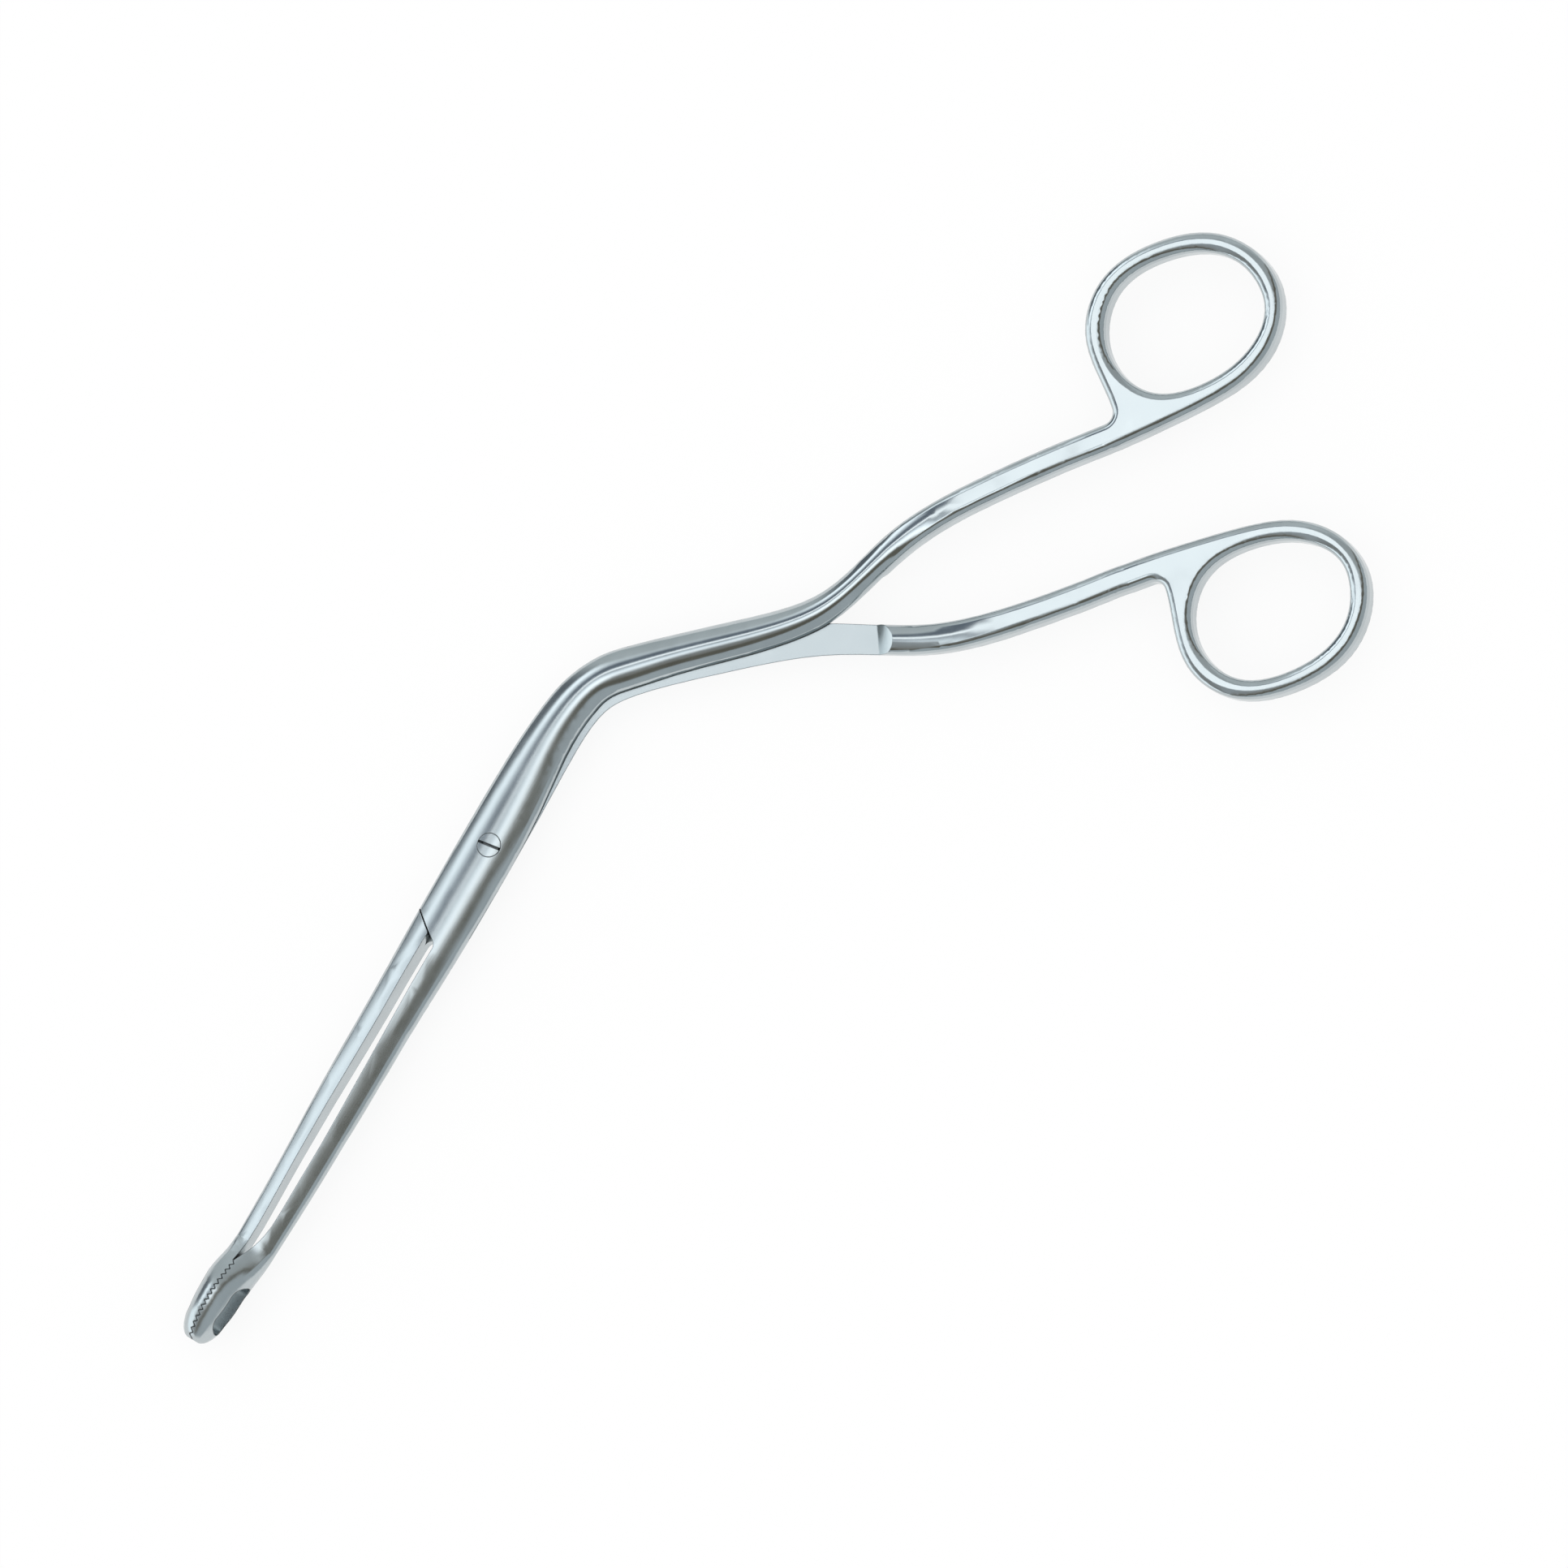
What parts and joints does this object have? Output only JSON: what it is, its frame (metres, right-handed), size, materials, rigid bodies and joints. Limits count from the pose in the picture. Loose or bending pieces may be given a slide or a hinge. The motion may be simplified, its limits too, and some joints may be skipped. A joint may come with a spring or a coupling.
{
  "type": "magill forceps",
  "caption": "Long crossed-lever forceps with angled handles, finger rings, a screwed lap joint and oval windowed, serrated jaws for reaching into a throat.",
  "frame": {"origin": "on the pivot axis, in the lap plane where the two halves meet", "axes": "+X from the pivot along the closed jaws to the tips, +Y towards the side that the handles bend to, +Z along the pivot axis out of the screw head"},
  "size_m": [0.2541, 0.1215, 0.0096],
  "materials": {
    "steel_halves": "satin with polished shanks and rings",
    "steel_screw": "satin"
  },
  "bodies": {
    "back_body": {"back_half": "steel_halves", "pivot_screw": "steel_screw"},
    "front_body": {"front_half": "steel_halves"}
  },
  "joints": [
    {"name": "jaw_pivot", "type": "hinge", "parent": "back_body", "child": "front_body", "pos_m": [0, 0, 0], "axis": [0, 0, 1], "range_deg": [0, 30]}
  ]
}
